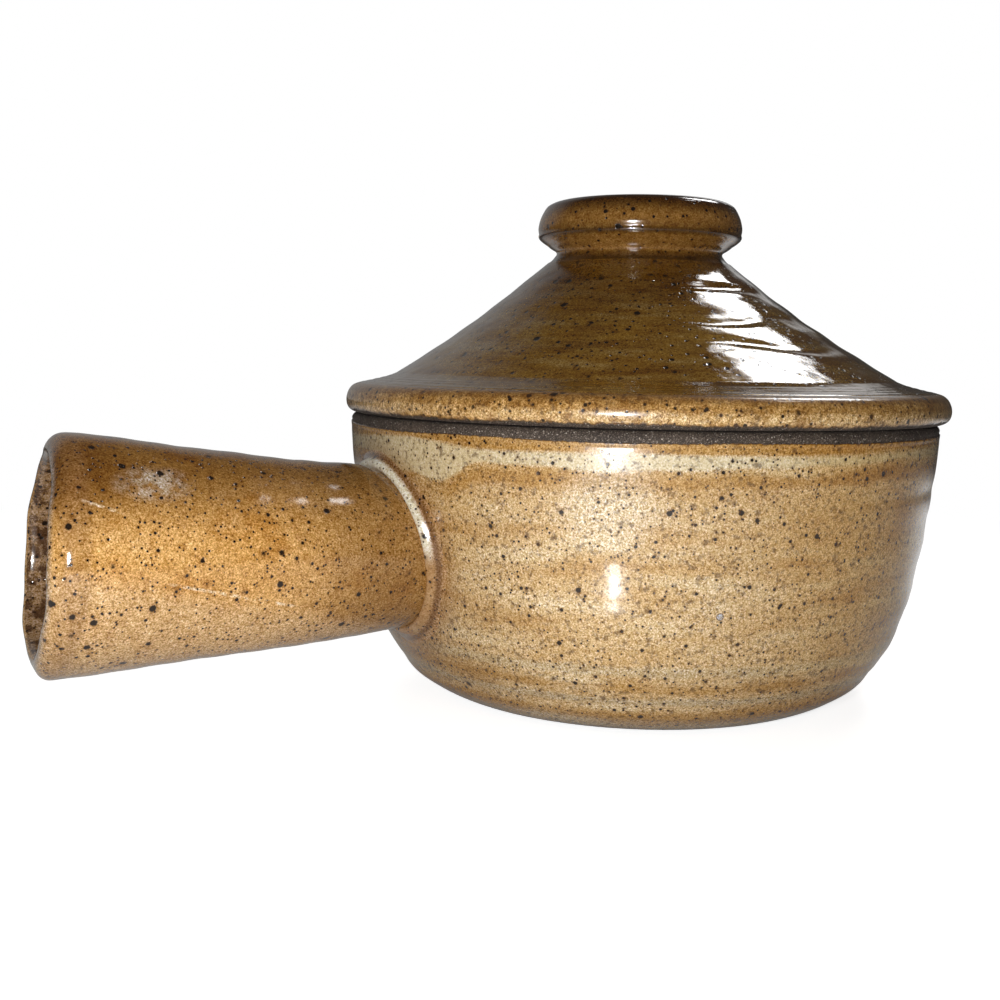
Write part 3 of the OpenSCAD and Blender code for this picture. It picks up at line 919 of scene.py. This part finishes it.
MATERIALS = {
    "bowl_body_glazed": glaze(
        "bowl_stoneware_glaze", base=(0.66, 0.46, 0.225), amber=(0.57, 0.36, 0.14),
        cream=(0.72, 0.57, 0.34), specks=BOWL_SPECKS, gloss=0.27, paint=paint_bowl, bare=True,
    ),
    "handle_glazed": glaze(
        "handle_stoneware_glaze", base=(0.74, 0.42, 0.14), amber=(0.62, 0.325, 0.085),
        cream=(0.78, 0.5, 0.23), specks=HANDLE_SPECKS, gloss=0.13, paint=paint_handle,
    ),
    "handle_collar_glazed": glaze(
        "collar_stoneware_glaze", base=(0.42, 0.235, 0.09), amber=(0.36, 0.185, 0.065),
        cream=(0.55, 0.38, 0.2), specks=HANDLE_SPECKS, gloss=0.2, paint=paint_collar,
    ),
    "lid_glazed": glaze(
        "lid_stoneware_glaze", base=(0.24, 0.122, 0.015), amber=(0.18, 0.082, 0.009),
        cream=(0.24, 0.145, 0.032), specks=LID_SPECKS, gloss=0.08, paint=paint_lid, bare=True,
    ),
    "lid_knob_glazed": glaze(
        "knob_stoneware_glaze", base=(0.17, 0.078, 0.012), amber=(0.13, 0.053, 0.007),
        cream=(0.21, 0.11, 0.028), specks=LID_SPECKS, gloss=0.15, paint=paint_knob,
    ),
    "lid_flange_clay": make_clay("bare_stoneware_clay"),
}

for piece in (make_bowl(), make_handle(), make_collar(), make_lid(), make_flange(), make_knob()):
    piece.data.materials.append(MATERIALS[piece.name])


# Floor

# How much of the floor's white near the bowl is its own glow. The matt part adds the rest.
OWN_WHITE = 0.82
WHITE = (1, 1, 1, 1)

# Width of the floor in metres
FLOOR_SIZE = 8


def make_floor():
    """A floor that is white to the camera, with the bowl's soft shadow near it. The glaze reflects
    it as dark, and pale behind the bowl."""
    s = new_material("studio_floor")
    rays = s.node("ShaderNodeLightPath", {}).outputs
    where = s.node("ShaderNodeTexCoord", {}).outputs["Object"]
    away = s.node("ShaderNodeVectorMath", {0: where}, operation="LENGTH").outputs["Value"]
    behind = s.spot((220, 70, 0), (200, 150, 100))
    in_glaze = s.times(rays["Is Glossy Ray"], s.plus(s.times(behind, 0.45), 0.04))
    seen = s.math("MAXIMUM", rays["Is Camera Ray"], rays["Is Transmission Ray"])
    level = s.plus(s.times(seen, OWN_WHITE), in_glaze)
    white = s.node("ShaderNodeEmission", {"Color": WHITE, "Strength": level})
    grey = s.mix(s.remap(away, 0.3, 0.6), (0.6, 0.6, 0.6), (0.02, 0.02, 0.02))
    matt = s.node("ShaderNodeBsdfDiffuse", {"Color": grey})
    both = s.node("ShaderNodeAddShader", {0: matt.outputs[0], 1: white.outputs[0]})
    pure = s.node("ShaderNodeEmission", {"Color": WHITE, "Strength": 1.0})
    far = s.times(s.remap(away, 0.12, 0.4), seen)
    s.join(s.node("ShaderNodeMixShader", {0: far, 1: both.outputs[0], 2: pure.outputs[0]}).outputs[0])
    bpy.ops.mesh.primitive_plane_add(size=FLOOR_SIZE, location=(0, 0, 0))
    plane = bpy.context.active_object
    plane.name = "studio_floor"
    plane.data.materials.append(s.owner)


make_floor()


# World

def make_world():
    """Plain white to the camera. The bowl is in a dim room with a pale wall behind it on the left
    and a pale patch below the window."""
    world = bpy.data.worlds.new("studio")
    bpy.context.scene.world = world
    s = Nodes(world, "ShaderNodeOutputWorld")
    looking = s.node("ShaderNodeTexCoord", {}).outputs["Generated"]

    def facing(degrees, rise):
        """1 towards an angle from the camera's side towards its right, and -1 away from it."""
        turn = VIEW + math.radians(degrees)
        way = Vector((math.cos(turn), math.sin(turn), rise)).normalized()
        inputs = {0: looking, 1: tuple(way)}
        return s.node("ShaderNodeVectorMath", inputs, operation="DOT_PRODUCT").outputs["Value"]

    wall = s.remap(facing(-142, 0.2), 0.72, 0.97, 0.04, 0.28)
    below_window = s.remap(facing(171, 0.4), 0.982, 0.996, 0.0, 0.65)
    level = s.plus(wall, below_window)
    room = s.node("ShaderNodeBackground", {"Color": WHITE, "Strength": level})
    plain = s.node("ShaderNodeBackground", {"Color": WHITE, "Strength": 1.0})
    rays = s.node("ShaderNodeLightPath", {}).outputs
    seen = s.math("MAXIMUM", rays["Is Camera Ray"], rays["Is Transmission Ray"])
    s.join(s.node("ShaderNodeMixShader", {0: seen, 1: room.outputs[0], 2: plain.outputs[0]}).outputs[0])


make_world()


# Lights, with places and sizes in metres

def add_light(name, place, aim, size, power):
    """An area light at a place, facing aim, with its width and height."""
    data = bpy.data.lights.new(name, "AREA")
    data.shape = "RECTANGLE"
    data.size, data.size_y = size
    data.energy = power
    light = bpy.data.objects.new(name, data)
    light.location = place
    light.rotation_euler = (Vector(aim) - Vector(place)).to_track_quat("-Z", "Y").to_euler()
    bpy.context.collection.objects.link(light)
    return light


def seen_from(point, angle, up, distance):
    """A place at a distance from a point, at an angle in degrees from the camera's side towards
    its right, and up degrees above the horizon."""
    a, e = VIEW + math.radians(angle), math.radians(up)
    way = Vector((math.cos(a) * math.cos(e), math.sin(a) * math.cos(e), math.sin(e)))
    return Vector(point) + distance * way


# The camera's distance from the bowl's axis, its height, and its angle round the bowl from -Y
CAMERA_DISTANCE = 0.2975
CAMERA_HEIGHT = 0.074
TURN = math.radians(35.5)
CAMERA_PLACE = Vector((
    -CAMERA_DISTANCE * math.sin(TURN), -CAMERA_DISTANCE * math.cos(TURN), CAMERA_HEIGHT,
))

# The lamp sits just left of the lens. The window stands behind the bowl on the right.
LAMP_OFFSET = -0.031
lamp_place = CAMERA_PLACE + LAMP_OFFSET * Vector(IMAGE_RIGHT)
add_light("lamp", lamp_place, (-0.02, -0.03, 0.05), (0.02, 0.02), 0.56)
lid_right = (0.003, -0.035, 0.082)
add_light("window", seen_from(lid_right, 148, 47, 1.0), lid_right, (0.24, 0.29), 2.4)
handle_top = (-0.0796, -0.0141, 0.0469)
add_light("ceiling_lamp", seen_from(handle_top, 109.6, 55.1, 0.6), handle_top, (0.05, 0.05), 0.08)

# The lamp's glint on the table top, which the wall of the bowl shows as a short streak
wall_low = (-0.0388, -0.0478, 0.032)
glint_place = seen_from(wall_low, -6.7, -27.5, 0.06)
glint = add_light("table_glint", glint_place, wall_low, (0.0035, 0.009), 0.0007)
glint.data.spread = math.radians(60)
glint.visible_camera = False

# A soft lamp behind the bowl that lights its far side and leaves no highlight
middle = (0, 0, 0.05)
far_lamp = add_light("far_lamp", seen_from(middle, -170, 32, 1.2), middle, (0.6, 0.6), 5.0)
far_lamp.visible_glossy = False


# Camera

AIM_LEFT = math.radians(6.03)
HEADING = math.radians(90) + AIM_LEFT - TURN
PITCH = math.radians(6.25)
ROLL = math.radians(1.07)
LENS = 46.8


def make_camera():
    """The camera, which looks a little down and leans a little to one side."""
    forward = Vector((
        math.cos(HEADING) * math.cos(PITCH), math.sin(HEADING) * math.cos(PITCH), -math.sin(PITCH),
    ))
    level_right = Vector((math.sin(HEADING), -math.cos(HEADING), 0))
    level_up = level_right.cross(forward)
    right = math.cos(ROLL) * level_right + math.sin(ROLL) * level_up
    up = -math.sin(ROLL) * level_right + math.cos(ROLL) * level_up
    data = bpy.data.cameras.new("photo_camera")
    camera = bpy.data.objects.new("photo_camera", data)
    bpy.context.collection.objects.link(camera)
    camera.matrix_world = Matrix((
        (right.x, up.x, -forward.x, CAMERA_PLACE.x),
        (right.y, up.y, -forward.y, CAMERA_PLACE.y),
        (right.z, up.z, -forward.z, CAMERA_PLACE.z),
        (0, 0, 0, 1),
    ))
    data.sensor_width = 36
    data.lens = LENS
    data.clip_start = 0.01
    bpy.context.scene.camera = camera


make_camera()
bpy.context.scene.view_settings.view_transform = "Standard"
